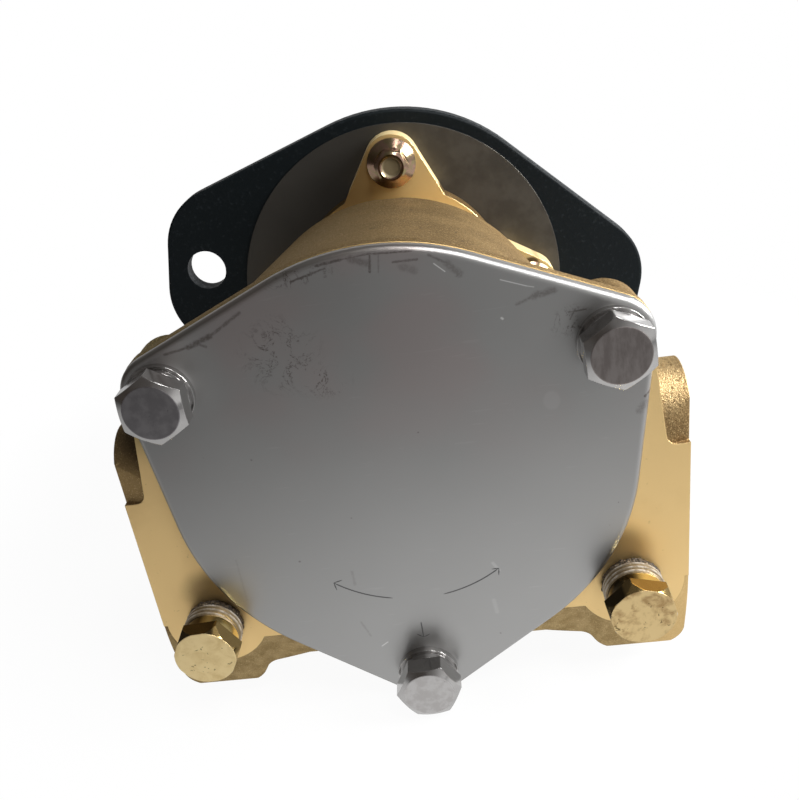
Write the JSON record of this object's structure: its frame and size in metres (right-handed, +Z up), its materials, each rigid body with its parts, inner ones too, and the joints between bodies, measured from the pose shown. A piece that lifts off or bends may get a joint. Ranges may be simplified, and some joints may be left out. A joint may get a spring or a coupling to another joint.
{
  "type": "seawater pump",
  "caption": "Flexible-impeller seawater pump with a flat front cover, side ports, drain plugs and a two-bolt accessory flange with a splined drive shaft.",
  "frame": {"origin": "centre of the adapter flange's mounting face, on the shaft axis", "axes": "+Y along the shaft from the cover towards the engine, +Z up with the cam at the bottom, +X right as seen from the cover"},
  "size_m": [0.1754, 0.2028, 0.1273],
  "materials": {
    "bronze_casting": "rough-cast bronze with milled and turned faces",
    "bronze_machined": "machined bronze",
    "brass": "turned brass",
    "black_flange": "black satin coat, turned pad in front",
    "cover_steel": "satin stainless sheet",
    "stainless": "plain stainless",
    "yellow_zinc": "yellow-passivated zinc on steel",
    "shaft_steel": "ground steel",
    "bearing_steel": "polished bearing steel",
    "cage_steel": "pressed steel",
    "spring_steel": "phosphated spring steel",
    "rubber": "black rubber",
    "gasket_paper": "dark gasket paper",
    "ceramic": "lapped ceramic",
    "carbon": "carbon"
  },
  "bodies": {
    "housing": {"pump_body": "bronze_casting", "adapter_flange": "black_flange", "register_o_ring": "rubber", "pilot_o_ring": "rubber", "flange_screws": "yellow_zinc", "cover_plate": "cover_steel", "cover_gasket": "gasket_paper", "cover_bolts": "stainless", "spring_washers": "stainless", "flat_washers": "stainless", "pipe_plugs": "brass", "cam_plate": "bronze_machined", "cam_screw": "stainless", "cam_screw_washer": "stainless", "wear_plate": "stainless", "front_bearing_outer_race": "bearing_steel", "rear_bearing_outer_race": "bearing_steel", "bearing_circlip": "spring_steel", "oil_seal": "rubber", "seal_seat": "ceramic", "seal_seat_cup": "rubber"},
    "rotor": {"drive_shaft": "shaft_steel", "impeller": "rubber", "impeller_hub": "bronze_machined", "impeller_key": "shaft_steel", "front_bearing_inner_race": "bearing_steel", "rear_bearing_inner_race": "bearing_steel", "shaft_circlip": "spring_steel", "slinger_ring": "rubber", "seal_carbon": "carbon", "seal_bellows": "rubber", "seal_collar": "stainless", "seal_spring": "stainless"},
    "front_cage": {"front_bearing_cage": "cage_steel", "front_bearing_balls": "bearing_steel"},
    "rear_cage": {"rear_bearing_cage": "cage_steel", "rear_bearing_balls": "bearing_steel"}
  },
  "joints": [
    {"name": "shaft_spin", "type": "hinge", "parent": "housing", "child": "rotor", "pos_m": [0, 0, 0], "axis": [0, 1, 0], "continuous": true, "deforming": ["impeller"]},
    {"name": "front_cage_spin", "type": "hinge", "parent": "housing", "child": "front_cage", "pos_m": [0, -0.0445, 0], "axis": [0, 1, 0], "continuous": true},
    {"name": "rear_cage_spin", "type": "hinge", "parent": "housing", "child": "rear_cage", "pos_m": [0, -0.0175, 0], "axis": [0, 1, 0], "continuous": true}
  ],
  "couplings": [
    {"joint": "front_cage_spin", "follows": "shaft_spin", "ratio": 0.3987},
    {"joint": "rear_cage_spin", "follows": "shaft_spin", "ratio": 0.3987}
  ]
}
